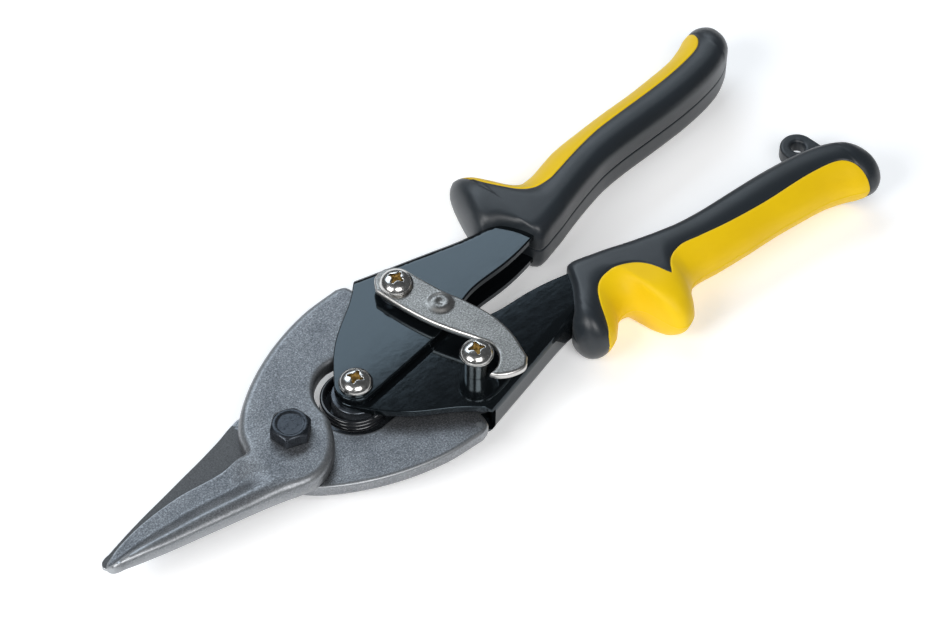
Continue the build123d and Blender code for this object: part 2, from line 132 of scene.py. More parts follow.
def monotone(xs, ys):
    """A smooth function through the points that never overshoots them."""
    xs, ys = np.array(xs, float), np.array(ys, float)
    step = np.diff(xs)
    slope = np.diff(ys) / step
    tangent = np.zeros(len(xs))
    for i in range(1, len(xs) - 1):
        if slope[i - 1] * slope[i] > 0:
            w1, w2 = 2 * step[i] + step[i - 1], step[i] + 2 * step[i - 1]
            tangent[i] = (w1 + w2) / (w1 / slope[i - 1] + w2 / slope[i])
    tangent[0], tangent[-1] = slope[0], slope[-1]

    def value(x):
        i = int(np.clip(np.searchsorted(xs, x) - 1, 0, len(step) - 1))
        t = min(max((x - xs[i]) / step[i], 0.0), 1.0)
        a, b = (1 + 2 * t) * (1 - t) ** 2, t * (1 - t) ** 2
        c, d = t * t * (3 - 2 * t), t * t * (t - 1)
        return a * ys[i] + b * step[i] * tangent[i] + c * ys[i + 1] + d * step[i] * tangent[i + 1]

    return value


def ease(low, high, value):
    """0 below low, 1 above high, smooth between."""
    t = np.clip((np.asarray(value, float) - low) / (high - low), 0, 1)
    return t * t * (3 - 2 * t)


def inside(polygon, points):
    """Which of the points lie inside a closed polygon."""
    x, y = points[:, 0][:, None], points[:, 1][:, None]
    x1, y1 = polygon[:, 0][None], polygon[:, 1][None]
    x2, y2 = np.roll(polygon[:, 0], -1)[None], np.roll(polygon[:, 1], -1)[None]
    crosses = (y1 > y) != (y2 > y)
    at = x1 + (y - y1) * (x2 - x1) / np.where(np.abs(y2 - y1) < 1e-12, 1e-12, y2 - y1)
    return (np.sum(crosses & (x < at), axis=1) % 2) == 1


def distance_to(loops, points):
    """Each point's distance to the nearest edge of the closed loops."""
    best = np.full(len(points), 1e9)
    for loop in loops:
        a, b = loop, np.roll(loop, -1, axis=0)
        run = b - a
        square = np.maximum((run ** 2).sum(1), 1e-12)
        for start in range(0, len(points), 1500):
            p = points[start:start + 1500]
            t = np.clip(((p[:, None] - a[None]) * run[None]).sum(2) / square, 0, 1)
            near = a[None] + run[None] * t[..., None]
            d = np.sqrt(((p[:, None] - near) ** 2).sum(2)).min(1)
            best[start:start + 1500] = np.minimum(best[start:start + 1500], d)
    return best


def signed_area(loop):
    x, y = loop[:, 0], loop[:, 1]
    return 0.5 * np.sum(x * np.roll(y, -1) - y * np.roll(x, -1))


def make_object(name, vertices, faces, material, body, slot, replaced=(), sharp=35.0):
    """A finished piece: welded, facing outwards, smooth but for its sharp edges."""
    mesh = bpy.data.meshes.new(name)
    mesh.from_pydata([tuple(PIVOT + Vector(v) * MM) for v in vertices], [], faces)
    work = bmesh.new()
    work.from_mesh(mesh)
    bmesh.ops.remove_doubles(work, verts=work.verts, dist=2e-6)
    bmesh.ops.dissolve_degenerate(work, edges=work.edges, dist=1e-6)
    bmesh.ops.recalc_face_normals(work, faces=work.faces)
    for face in work.faces:
        face.smooth = True
    for edge in work.edges:
        if len(edge.link_faces) == 2 and edge.calc_face_angle(0) > math.radians(sharp):
            edge.smooth = False
    work.to_mesh(mesh)
    work.free()
    mesh.materials.append(material)
    piece = bpy.data.objects.new(name, mesh)
    bpy.context.scene.collection.objects.link(piece)
    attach(piece, body)
    if replaced:
        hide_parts(*replaced)
    return piece


RIM_RINGS = (0.05, 0.16, 0.34, 0.62, 1.0)  # rows of points across a rounded rim, as shares of its width


def relief_plate(outline, low, high, spacing, round_low=0.0, round_high=0.0, holes=()):
    """A solid with vertical walls on the outline. low, high and the edge roundings may be functions of (x, y)."""
    loops = [np.array(outline)] + [np.array(h) for h in holes]
    for i, loop in enumerate(loops):
        if (signed_area(loop) > 0) != (i == 0):
            loops[i] = loop[::-1]
    as_function = [f if callable(f) else (lambda x, y, f=f: np.full(np.shape(x), float(f)))
                   for f in (low, high, round_low, round_high)]
    low_at, high_at, round_low_at, round_high_at = as_function
    rim = max(float(np.max(round_low_at(*loops[0].T))), float(np.max(round_high_at(*loops[0].T))), 0.2)

    candidates = []
    for loop in loops:
        ahead = np.roll(loop, -1, axis=0) - np.roll(loop, 1, axis=0)
        inward = np.stack([-ahead[:, 1], ahead[:, 0]], 1) / np.maximum(np.linalg.norm(ahead, axis=1), 1e-9)[:, None]
        candidates += [(k * rim, loop + inward * k * rim) for k in RIM_RINGS]
    lo, hi = loops[0].min(0), loops[0].max(0)
    gx, gy = np.meshgrid(np.arange(lo[0], hi[0], spacing), np.arange(lo[1], hi[1], spacing * 0.87))
    gx[1::2] += spacing / 2
    grid = np.stack([gx.ravel(), gy.ravel()], 1)
    candidates.append((rim * max(RIM_RINGS) + spacing * 0.45, grid))
    kept = []
    for depth, points in candidates:
        good = inside(loops[0], points)
        for hole in loops[1:]:
            good &= ~inside(hole, points)
        points = points[good]
        d = distance_to(loops, points)
        kept.append(points[d > depth * 0.93])
    flat = np.vstack(loops + kept)
    edges, start = [], 0
    for loop in loops:
        n = len(loop)
        edges += [(start + i, start + (i + 1) % n) for i in range(n)]
        start += n
    result = delaunay_2d_cdt([Vector(p) for p in flat], edges, [], 0, 1e-5)
    points = np.array([tuple(v) for v in result[0]])
    triangles = [t for t in result[2] if len(t) == 3]
    centres = np.array([points[list(t)].mean(0) for t in triangles])
    good = inside(loops[0], centres)
    for hole in loops[1:]:
        good &= ~inside(hole, centres)
    triangles = [t for t, g in zip(triangles, good) if g]

    x, y = points[:, 0], points[:, 1]
    d = distance_to(loops, points)

    def drop(radius):
        inner = np.maximum(radius - d, 0)
        return radius - np.sqrt(np.maximum(radius ** 2 - inner ** 2, 0))

    top = high_at(x, y) - drop(round_high_at(x, y))
    bottom = low_at(x, y) + drop(round_low_at(x, y))
    n = len(points)
    vertices = [(a, b, c) for a, b, c in zip(x, y, top)] + [(a, b, c) for a, b, c in zip(x, y, bottom)]
    faces = [tuple(t) for t in triangles] + [tuple(n + k for k in reversed(t)) for t in triangles]
    uses = {}
    for t in triangles:
        for a, b in ((t[0], t[1]), (t[1], t[2]), (t[2], t[0])):
            key = (min(a, b), max(a, b))
            uses.setdefault(key, []).append((a, b))
    for pair in uses.values():
        if len(pair) == 1:
            a, b = pair[0]
            faces.append((b, a, n + a, n + b))
    return vertices, faces


def lathe(profile, centre, count=48):
    """Turns a profile of (radius, z) points round a vertical axis, closed at the axis."""
    vertices, faces, rings = [], [], []
    for radius, z in profile:
        if radius < 1e-6:
            rings.append([len(vertices)])
            vertices.append((centre[0], centre[1], z))
            continue
        rings.append(list(range(len(vertices), len(vertices) + count)))
        for i in range(count):
            t = 2 * math.pi * i / count
            vertices.append((centre[0] + radius * math.cos(t), centre[1] + radius * math.sin(t), z))
    for a, b in zip(rings, rings[1:]):
        for i in range(count):
            j = (i + 1) % count
            corners = [a[i % len(a)], a[j % len(a)], b[j % len(b)], b[i % len(b)]]
            faces.append(tuple(dict.fromkeys(corners)))
    return vertices, faces


def join(*parts):
    """Several (vertices, faces) sets as one."""
    vertices, faces = [], []
    for v, f in parts:
        shift = len(vertices)
        vertices += list(v)
        faces += [tuple(shift + k for k in face) for face in f]
    return vertices, faces


def tube(path, radius, count=20):
    """A round wire along a path of points, with domed ends."""
    p = [Vector(q) for q in path]
    vertices, faces, rings = [], [], []
    side = Vector((0, 0, 1))
    for i, q in enumerate(p):
        ahead = (p[min(i + 1, len(p) - 1)] - p[max(i - 1, 0)]).normalized()
        side = (side - ahead * side.dot(ahead)).normalized()
        other = ahead.cross(side)
        steps = [(0, 1.0)]
        if i == 0:
            steps = [(-0.9 * radius, 0.35), (-0.6 * radius, 0.75), (0, 1.0)]
        if i == len(p) - 1:
            steps = [(0, 1.0), (0.6 * radius, 0.75), (0.9 * radius, 0.35)]
        for along, scale in steps:
            rings.append(len(vertices))
            for k in range(count):
                t = 2 * math.pi * k / count
                offset = side * math.cos(t) + other * math.sin(t)
                vertices.append(tuple(q + ahead * along + offset * radius * scale))
    for a, b in zip(rings, rings[1:]):
        for k in range(count):
            j = (k + 1) % count
            faces.append((a + k, a + j, b + j, b + k))
    faces.append(tuple(rings[0] + k for k in reversed(range(count))))
    faces.append(tuple(rings[-1] + k for k in range(count)))
    return vertices, faces


# --- Materials ---


class Shader:
    """A small builder for node materials. Texture scales are features per metre."""

    def __init__(self, name):
        self.material = bpy.data.materials.new(name)
        self.material.use_nodes = True
        self.nodes = self.material.node_tree.nodes
        self.links = self.material.node_tree.links
        self.bsdf = self.nodes["Principled BSDF"]
        self.place = self.nodes.new("ShaderNodeTexCoord").outputs["Object"]
        self.height = None

    def set(self, **values):
        for key, value in values.items():
            self.bsdf.inputs[key.replace("_", " ")].default_value = value

    def noise(self, scale, detail=4.0, roughness=0.55, stretch=None):
        place = self.place
        if stretch:
            mapping = self.nodes.new("ShaderNodeMapping")
            mapping.inputs["Scale"].default_value = stretch
            self.links.new(self.place, mapping.inputs["Vector"])
            place = mapping.outputs["Vector"]
        node = self.nodes.new("ShaderNodeTexNoise")
        node.inputs["Scale"].default_value = scale
        node.inputs["Detail"].default_value = detail
        node.inputs["Roughness"].default_value = roughness
        self.links.new(place, node.inputs["Vector"])
        return node.outputs["Fac"]

    def cells(self, scale):
        node = self.nodes.new("ShaderNodeTexVoronoi")
        node.inputs["Scale"].default_value = scale
        self.links.new(self.place, node.inputs["Vector"])
        return node.outputs["Distance"]

    def ramp(self, source, stops):
        """Maps a value to colours or greys at the given stops."""
        node = self.nodes.new("ShaderNodeValToRGB")
        elements = node.color_ramp.elements
        while len(elements) < len(stops):
            elements.new(0.5)
        for element, (at, colour) in zip(elements, stops):
            element.position = at
            element.color = (*colour, 1) if not np.isscalar(colour) else (colour, colour, colour, 1)
        self.links.new(source, node.inputs["Fac"])
        return node.outputs["Color"]

    def mix(self, factor, a, b, blend="MIX"):
        node = self.nodes.new("ShaderNodeMix")
        node.data_type = "RGBA"
        node.blend_type = blend
        for socket, value in ((node.inputs[0], factor), (node.inputs[6], a), (node.inputs[7], b)):
            if hasattr(value, "is_linked"):
                self.links.new(value, socket)
            else:
                socket.default_value = value if np.isscalar(value) else (*value, 1)
        return node.outputs[2]

    def pointiness(self, low, high):
        """Convex edges as a mask, for wear."""
        node = self.nodes.new("ShaderNodeNewGeometry")
        return self.ramp(node.outputs["Pointiness"], [(low, 0.0), (high, 1.0)])

    def colour(self, source):
        self.links.new(source, self.bsdf.inputs["Base Color"])

    def rough(self, source):
        self.links.new(source, self.bsdf.inputs["Roughness"])

    def bump(self, source, distance, strength=1.0):
        """Adds a layer of relief; distance is in metres."""
        node = self.nodes.new("ShaderNodeBump")
        node.inputs["Distance"].default_value = distance
        node.inputs["Strength"].default_value = strength
        self.links.new(source, node.inputs["Height"])
        if self.height:
            self.links.new(self.height, node.inputs["Normal"])
        self.height = node.outputs["Normal"]
        self.links.new(self.height, self.bsdf.inputs["Normal"])


def forged_steel():
    """Sand-blasted drop-forged steel: fine speckle over broad, soft blotches."""
    s = Shader("forged_steel")
    s.set(Metallic=0.85)
    speck = s.noise(2300, 5.0, 0.75)
    broad = s.noise(110, 5.0, 0.65)
    grain = s.ramp(speck, [(0.30, (0.085, 0.090, 0.096)), (0.50, (0.205, 0.214, 0.226)),
                           (0.70, (0.45, 0.465, 0.485))])
    blotch = s.ramp(broad, [(0.32, (0.66, 0.67, 0.69)), (0.68, (1.0, 1.0, 1.0))])
    colour = s.mix(1.0, grain, blotch, "MULTIPLY")
    worn = s.pointiness(0.505, 0.56)
    s.colour(s.mix(worn, colour, (0.38, 0.395, 0.41)))
    s.rough(s.mix(worn, s.ramp(speck, [(0.3, 0.54), (0.7, 0.38)]), (0.37, 0.37, 0.37)))
    s.bump(speck, 0.00005, 0.6)
    s.bump(s.noise(650, 3.0, 0.55), 0.00008, 0.4)
    return s.material


def ground_steel():
    """The shear faces: ground flat, and darker than the forged faces."""
    s = Shader("ground_steel")
    s.set(Metallic=0.85)
    lay = s.noise(700, 4.0, 0.6, stretch=(6.0, 1.0, 1.0))
    speck = s.noise(2600, 3.0, 0.7)
    tone = s.ramp(lay, [(0.3, (0.050, 0.050, 0.050)), (0.7, (0.115, 0.117, 0.120))])
    s.colour(s.mix(0.5, tone, s.ramp(speck, [(0.3, (0.05, 0.05, 0.05)), (0.7, (0.16, 0.16, 0.165))])))
    s.rough(s.ramp(lay, [(0.3, 0.42), (0.7, 0.56)]))
    s.bump(lay, 0.00002, 0.4)
    s.bump(speck, 0.00003, 0.4)
    return s.material


def black_enamel():
    """Gloss black paint over folded sheet: faint orange peel and hairline scuffs."""
    s = Shader("black_enamel")
    # The specular tint turns every reflection blue-grey: a painted tint of the reflected light, since gloss paint
    # reflects colourless.
    s.set(Metallic=0.0, IOR=1.5, Specular_Tint=(0.70, 0.88, 1.0, 1))
    scuff = s.noise(260, 6.0, 0.75, stretch=(1.0, 6.0, 6.0))
    s.colour(s.ramp(scuff, [(0.35, (0.0025, 0.0034, 0.0040)), (0.8, (0.0060, 0.0075, 0.0090))]))
    s.rough(s.ramp(scuff, [(0.3, 0.05), (0.75, 0.12)]))
    s.bump(s.noise(420, 2.0, 0.5), 0.00006, 0.09)
    return s.material


def bright_nickel():
    """Polished nickel plate, with a little haze and faint machining."""
    s = Shader("nickel")
    s.set(Metallic=1.0)
    haze = s.noise(900, 5.0, 0.65)
    s.colour(s.ramp(haze, [(0.3, (0.50, 0.49, 0.475)), (0.7, (0.68, 0.67, 0.65))]))
    s.rough(s.ramp(haze, [(0.3, 0.15), (0.75, 0.27)]))
    s.bump(s.noise(2400, 2.0, 0.5), 0.00001, 0.25)
    return s.material


def recess_brown():
    """The yellow-brown bottom of the cross recesses."""
    s = Shader("recess")
    s.set(Metallic=0.9)
    stain = s.noise(2200, 4.0, 0.6)
    s.colour(s.ramp(stain, [(0.3, (0.10, 0.055, 0.012)), (0.7, (0.42, 0.26, 0.07))]))
    s.rough(s.ramp(stain, [(0.3, 0.34), (0.7, 0.5)]))
    s.bump(stain, 0.00003, 0.3)
    return s.material


def tumbled_nickel():
    """Plated stamping tumbled before plating: a fine pebbled face."""
    s = Shader("tumbled_nickel")
    s.set(Metallic=1.0)
    grain = s.noise(2300, 4.0, 0.65)
    broad = s.noise(170, 3.0, 0.55)
    tone = s.ramp(grain, [(0.30, (0.12, 0.117, 0.112)), (0.50, (0.25, 0.246, 0.236)),
                          (0.72, (0.50, 0.493, 0.475))])
    face = s.mix(1.0, tone, s.ramp(broad, [(0.3, (0.80, 0.80, 0.80)), (0.7, (1, 1, 1))]), "MULTIPLY")
    normal = s.nodes.new("ShaderNodeNewGeometry").outputs["Normal"]
    split = s.nodes.new("ShaderNodeSeparateXYZ")
    s.links.new(normal, split.inputs[0])
    flat = s.ramp(split.outputs["Z"], [(0.80, 0.0), (0.97, 1.0)])
    s.colour(s.mix(flat, (0.60, 0.59, 0.57), face))
    s.rough(s.mix(flat, (0.32, 0.32, 0.32), s.ramp(grain, [(0.3, 0.46), (0.75, 0.30)])))
    s.bump(grain, 0.00005, 0.6)
    return s.material


def black_oxide():
    """Oiled black-oxide steel."""
    s = Shader("black_oxide")
    s.set(Metallic=0.75)
    mottle = s.noise(700, 5.0, 0.7)
    worn = s.pointiness(0.52, 0.60)
    base = s.ramp(mottle, [(0.3, (0.022, 0.027, 0.034)), (0.75, (0.060, 0.068, 0.080))])
    s.colour(s.mix(worn, base, (0.12, 0.135, 0.155)))
    s.rough(s.ramp(mottle, [(0.3, 0.22), (0.75, 0.40)]))
    s.bump(s.noise(800, 4.0, 0.6), 0.00012, 0.5)
    s.bump(s.noise(2600, 3.0, 0.6), 0.00003, 0.4)
    return s.material


def spring_black():
    """Gloss black spring wire with drawing marks."""
    s = Shader("spring_steel")
    s.set(Metallic=0.35, Coat_Weight=0.5, Coat_Roughness=0.1)
    mark = s.noise(1300, 4.0, 0.6)
    s.colour(s.ramp(mark, [(0.3, (0.006, 0.007, 0.009)), (0.8, (0.022, 0.024, 0.028))]))
    s.rough(s.ramp(mark, [(0.3, 0.16), (0.75, 0.28)]))
    s.bump(mark, 0.00002, 0.25)
    return s.material


def zinc_plate():
    """Dull zinc plate."""
    s = Shader("zinc")
    s.set(Metallic=0.95)
    spangle = s.cells(900)
    s.colour(s.ramp(spangle, [(0.1, (0.38, 0.39, 0.41)), (0.8, (0.58, 0.59, 0.60))]))
    s.rough(s.ramp(spangle, [(0.1, 0.45), (0.8, 0.32)]))
    s.bump(s.noise(1800, 3.0, 0.6), 0.00002, 0.3)
    return s.material


def moulded_rubber(name, dark, light, roughness, gloss, wear):
    """Soft moulded rubber: a fine spark-eroded skin, faint handling gloss."""
    s = Shader(name)
    s.set(Metallic=0.0, IOR=1.47, Sheen_Weight=0.08, Sheen_Roughness=0.5, Specular_IOR_Level=gloss)
    broad = s.noise(55, 4.0, 0.55)
    skin = s.noise(5200, 2.0, 0.6)
    tone = s.ramp(broad, [(0.3, dark), (0.7, light)])
    s.colour(s.mix(s.pointiness(0.515, 0.60), tone, wear))
    s.rough(s.ramp(s.mix(0.5, broad, skin), [(0.3, roughness + 0.06), (0.7, roughness - 0.06)]))
    s.bump(skin, 0.00003, 0.35)
    s.bump(s.noise(300, 3.0, 0.5), 0.00005, 0.25)
    return s.material


STEEL = forged_steel()
GROUND = ground_steel()
ENAMEL = black_enamel()
NICKEL = bright_nickel()
RECESS = recess_brown()
TUMBLED = tumbled_nickel()
OXIDE = black_oxide()
WIRE = spring_black()
ZINC = zinc_plate()
BLACK_RUBBER = moulded_rubber("black_rubber", (0.0085, 0.0125, 0.0165), (0.0135, 0.0190, 0.0245), 0.40, 0.60,
                              (0.030, 0.035, 0.042))
YELLOW_RUBBER = moulded_rubber("yellow_rubber", (0.84, 0.535, 0.0), (0.90, 0.59, 0.0), 0.5, 0.26,
                               (0.97, 0.66, 0.02))

# --- Blades ---

NOTCH_RADIUS = 11.3
TAIL_END_RADIUS = 8.5
BLADE_TOP = height_range("upper_blade")[1]
BLADE_FACE = height_range("upper_blade")[0]
BOLT_HOLE_RADIUS = 3.05
SCREW_HOLE_RADIUS = 2.55

cutting_edge = [(-12.6, 3.4), (-22, 3.3), (-34, 4.6), (-45.8, 4.1), (-54, 2.6), (-58.6, 1.2)]
jaw_back = [(-57.6, -3.3), (-53, -4.6), (-45, -6.6), (-35, -8.7), (-28.5, -10.1), (-21.8, -11.5),
            (-13.6, -13.5)]
blade_outline = evenly(
    through(jaw_back + [(-9.3, -14.9), (-5, -15.8), (-1.2, -15.4), (2.1, -13.9), (5.2, -11.5), (8.2, -7.9),
                        (10.6, -3.4)])
    + arc(CENTRE, NOTCH_RADIUS, 185, 94)
    + through([(21.5, 11.27), (34, 10.2), (50.3, 7.9)])
    + arc(LEFT_TAIL, TAIL_END_RADIUS, -92, 135)
    + through([(44.6, 22.4), (44.2, 27.2)], 6)
    + through([(44.2, 27.2), (43.2, 29.6), (40.6, 30.7)])
    + through([(40.6, 30.7), (28, 29.8), (13.4, 25.7), (0, 18.7), (-9.8, 10.2), (-12.6, 3.4)])
    + through(cutting_edge)
    + through([(-58.6, 1.2), (-60.3, 0.5), (-61.15, -0.8), (-60.7, -2.2), (-59.3, -3.0), (-57.6, -3.3)]),
    0.5,
)
back_line = monotone([x for x, _ in jaw_back] + [0], [y for _, y in jaw_back] + [-16])
edge_line = monotone([x for x, _ in reversed(cutting_edge)], [y for _, y in reversed(cutting_edge)])
CREST_SHARE = 0.31  # the back ridge's place across the jaw
SCOOP_SHARE = 0.64  # where the fall from the ridge reaches the flank
EDGE_HEIGHT = 2.2  # the flank's height over the shear plane


def blade_height(x, y):
    """The outer face: flat on boss and tail; along the jaw a full ridge, a hollow and a thin flank."""
    x, y = np.asarray(x, float), np.asarray(y, float)
    back = np.array([back_line(v) for v in x.ravel()]).reshape(x.shape)
    edge = np.array([edge_line(v) for v in x.ravel()]).reshape(x.shape)
    across = np.clip((y - back) / np.maximum(edge - back, 0.5), 0, 1)
    slim = ease(-18, -58, x)
    crest = BLADE_TOP - 1.1 * slim - 0.9 * ease(-50, -61.5, x)
    flank = EDGE_HEIGHT - 0.35 * slim - 0.3 * ease(-50, -61.5, x)
    fall = ease(CREST_SHARE * 0.7, SCOOP_SHARE, across)
    shoulder = 1.35 * (1 - 0.55 * slim) * np.clip(1 - across / CREST_SHARE, 0, 1) ** 2
    jaw = crest - (crest - flank) * fall - shoulder
    reach = np.hypot(x + 0.5, y + 1.0)
    share = ease(10.8, 22.5, reach + 2.5 * (across - 0.5)) * ease(-3.0, -13.0, x)
    return BLADE_TOP + (jaw - BLADE_TOP) * share


def outer_rounding(x, y):
    """Forged edges are full, the ridge's own slope needs less, and the cutting edge is crisp."""
    x, y = np.asarray(x, float), np.asarray(y, float)
    by_edge = ease(-1.2, 1.2, y - 0.9) * ease(-12.8, -16.5, x) * ease(-60.6, -57.5, x)
    on_jaw = ease(-10, -22, x)
    notch_side = ease(13.4, 12.2, np.hypot(x - CENTRE.x, y - CENTRE.y))
    full = 2.1 - 1.2 * np.maximum(on_jaw, 0.6 * notch_side)
    return full - (full - 0.15) * by_edge


def face_rounding(x, y):
    """The shear face is ground flat on the jaw and eased elsewhere."""
    return 0.08 + 0.85 * ease(-14, 6, x)


def blade_mesh():
    holes = [np.array(arc((0, 0), BOLT_HOLE_RADIUS, 0, -360)),
             np.array(arc(LEFT_TAIL, SCREW_HOLE_RADIUS, 0, -360))]
    return relief_plate(blade_outline, BLADE_FACE, blade_height, 0.62, face_rounding, outer_rounding, holes)


GROUND_FROM = -8.0  # the shear face is ground from here to the tip
blade_vertices, blade_faces = blade_mesh()
turned_over = [(x, -y, -z) for x, y, z in blade_vertices]
for word, vertices in (("upper", blade_vertices), ("lower", turned_over)):
    forging = make_object(word + "_blade_forging", vertices, blade_faces, STEEL, word + "_blade", "forged_steel",
                          [word + "_blade"])
    forging.data.materials.append(GROUND)
    for face in forging.data.polygons:
        where = local(face.center)
        if abs(where.z) < BLADE_FACE + 0.05 and where.x < GROUND_FROM:
            face.material_index = 1

# --- Hexagon pivot bolt ---

bolt_bottom, bolt_top = height_range("pivot_bolt")
BOLT_FLATS = 10.0
BOLT_TURN = 40  # degrees from +X to a corner
BOLT_SHANK = 3.0
BOLT_SEAT = BLADE_TOP + 0.05


def bolt_head_height(x, y):
    """Top face with turned-off corners and a shallow dish."""
    reach = np.hypot(x, y)
    cone = np.maximum(reach - 4.55, 0) * 0.62
    return bolt_top - cone - 0.22 * ease(3.9, 3.5, reach)


hexagon = [(BOLT_FLATS / math.sqrt(3) * math.cos(math.radians(BOLT_TURN + 60 * k)),
            BOLT_FLATS / math.sqrt(3) * math.sin(math.radians(BOLT_TURN + 60 * k))) for k in range(6)]
head = relief_plate(evenly(hexagon, 0.3), BOLT_SEAT, bolt_head_height, 0.3, 0.1, 0.22)
shank = lathe([(0, bolt_bottom), (BOLT_SHANK - 0.4, bolt_bottom), (BOLT_SHANK, bolt_bottom + 0.4),
               (BOLT_SHANK, BOLT_SEAT), (0, BOLT_SEAT)], (0, 0))
make_object("hex_bolt", *join(head, shank), OXIDE, "lower_blade", "black_oxide", ["pivot_bolt"], sharp=28)

# --- Phillips pan-head screws ---

HEAD_RADIUS = 4.65
HEAD_HEIGHT = 3.0
SHANK_RADIUS = 2.5


def cross_outline(centre, turn, reach=2.25, half=0.42, throat=0.98):
    """A Phillips recess in the plan: four wings with scooped corners between them."""
    quarter = [(reach - 0.12, -half * 0.72), (reach, 0), (reach - 0.12, half * 0.72), (1.5, half * 1.05),
               (throat * 0.86, throat * 0.86)]
    points = []
    for k in range(4):
        t = math.radians(turn + 90 * k)
        points += [(centre[0] + x * math.cos(t) - y * math.sin(t), centre[1] + x * math.sin(t) + y * math.cos(t))
                   for x, y in quarter]
    return evenly(through(points + points[:1], 6), 0.14)


def pan_head(name, centre, seat, end, turn, body, node):
    """A domed head with a cross recess, and its shank."""
    recess_floor = seat + 0.9

    def dome(x, y):
        reach = np.minimum(np.hypot(x - centre[0], y - centre[1]) / HEAD_RADIUS, 1)
        return seat + np.maximum(HEAD_HEIGHT * np.sqrt(np.maximum(1 - reach ** 2.3, 0)) ** 0.95, 0.7)

    def floor_of_recess(x, y):
        reach = np.hypot(x - centre[0], y - centre[1])
        return recess_floor + 0.62 * ease(0.7, 2.4, reach)

    rim = np.array(arc(centre, HEAD_RADIUS, 0, 360, 4))
    crown = relief_plate(rim, seat, dome, 0.3, 0.15, 0.25, [cross_outline(centre, turn)])
    floor_mesh = relief_plate(cross_outline(centre, turn, 2.3, 0.47, 1.03), seat, floor_of_recess, 0.25)
    stem = lathe([(0, end), (SHANK_RADIUS - 0.4, end), (SHANK_RADIUS, end + 0.4), (SHANK_RADIUS, seat + 0.05),
                  (0, seat + 0.05)], centre)
    make_object(name, *join(crown, stem), NICKEL, body, "nickel", [node], sharp=40)
    make_object(name + "_recess", *floor_mesh, RECESS, body, "nickel")


for name, node, centre, turn, body in (
    ("centre_pan_screw", "centre_screw", CENTRE, 32, "left_handle"),
    ("left_pan_screw", "left_tail_screw", LEFT_TAIL, 20, "left_handle"),
    ("catch_pan_screw", "right_tail_screw", RIGHT_TAIL, 64, "right_handle"),
):
    low, high = height_range(node)
    pan_head(name, (centre.x, centre.y), high - HEAD_HEIGHT, low, turn, body, node)

# --- Latch ---

latch_bottom = height_range("latch")[0]
LATCH_THICKNESS = 2.0
LATCH_TOP = latch_bottom + LATCH_THICKNESS
DIMPLE = (55.1, 3.5)
latch_outline = evenly(
    through([(45.0, 18.4), (47.6, 22.0), (51.4, 22.9), (55.2, 20.4), (56.9, 14), (58.6, 7), (61, 0), (63.1, -9),
             (62.9, -17), (60.6, -25.6)])
    + through([(60.6, -25.6), (57.8, -27.9), (53.6, -27.3), (50.2, -25.2), (49.0, -23.4)])
    + through([(49.0, -23.4), (52.4, -22.6), (55.4, -19.8), (56.2, -16.6), (54.6, -12.4), (51.4, -5.6), (48.9, 0.5),
               (46.6, 9), (45.0, 18.4)]),
    0.24,
)


def pressed_dimple(x, y):
    reach = np.hypot(x - DIMPLE[0], y - DIMPLE[1])
    return 0.78 * ease(4.1, 1.9, reach) - 0.30 * ease(1.5, 0.2, reach)


latch_mesh = relief_plate(
    latch_outline,
    lambda x, y: latch_bottom + pressed_dimple(x, y),
    lambda x, y: LATCH_TOP + pressed_dimple(x, y),
    0.42, 0.5, 0.8, [np.array(arc(LEFT_TAIL, SCREW_HOLE_RADIUS, 0, -360))],
)
make_object("hook_latch", *latch_mesh, TUMBLED, "latch", "tumbled_nickel", ["latch"])

# --- Return spring: the coil and left leg ride with one handle, the right leg with the other ---

WIRE_RADIUS = 0.67
COIL_RADIUS = 8.8
COIL_PITCH = 1.37
COIL_FULL_TURNS = 2
COIL_SLACK = 0.5  # the loose coil is pushed forwards by its legs
LEG_REACH = 31.5
START_TURN = 94.6  # where the left leg leaves the coil, in degrees


def on_coil(turn, z):
    t = math.radians(turn)
    return (CENTRE.x - COIL_SLACK + COIL_RADIUS * math.cos(t), CENTRE.y + COIL_RADIUS * math.sin(t), z)


coil_turns = COIL_FULL_TURNS + (360 - 2 * START_TURN) / 360
coil_low = -coil_turns * COIL_PITCH / 2
start = np.array(on_coil(START_TURN, coil_low))
leg_run = np.array((math.sin(math.radians(START_TURN)), -math.cos(math.radians(START_TURN)), 0))
coil_path = [start + leg_run * d for d in np.linspace(LEG_REACH, 1, 16)]
for share in np.linspace(0, 1, 170):
    rise = coil_low + coil_turns * COIL_PITCH * share
    coil_path.append(np.array(on_coil(START_TURN + 360 * coil_turns * share, rise)))
make_object("spring_coil", *tube(coil_path, WIRE_RADIUS), WIRE, "left_handle", "spring_steel", ["torsion_spring"])
end = np.array(on_coil(-START_TURN, -coil_low))
mirrored_run = leg_run * np.array((1, -1, 1))
right_leg = [end + mirrored_run * d for d in np.linspace(0, LEG_REACH, 16)]
make_object("spring_right_leg", *tube(right_leg, WIRE_RADIUS), WIRE, "right_handle", "spring_steel")

# --- Grips ---

GRIP_HALF = 9.1  # half the thickness
CORNER = 3.4  # radius on the inner side
BULGE = 12.6  # length of the rounded outer side
END_X = 188.75
INLAY_DEPTH = 0.75
PROUD = 0.06  # the inlay's stand above the black skin
EDGE_STEPS = (0.9, 0.5, 0.25, 0.1, 0)  # closely set points at a colour edge


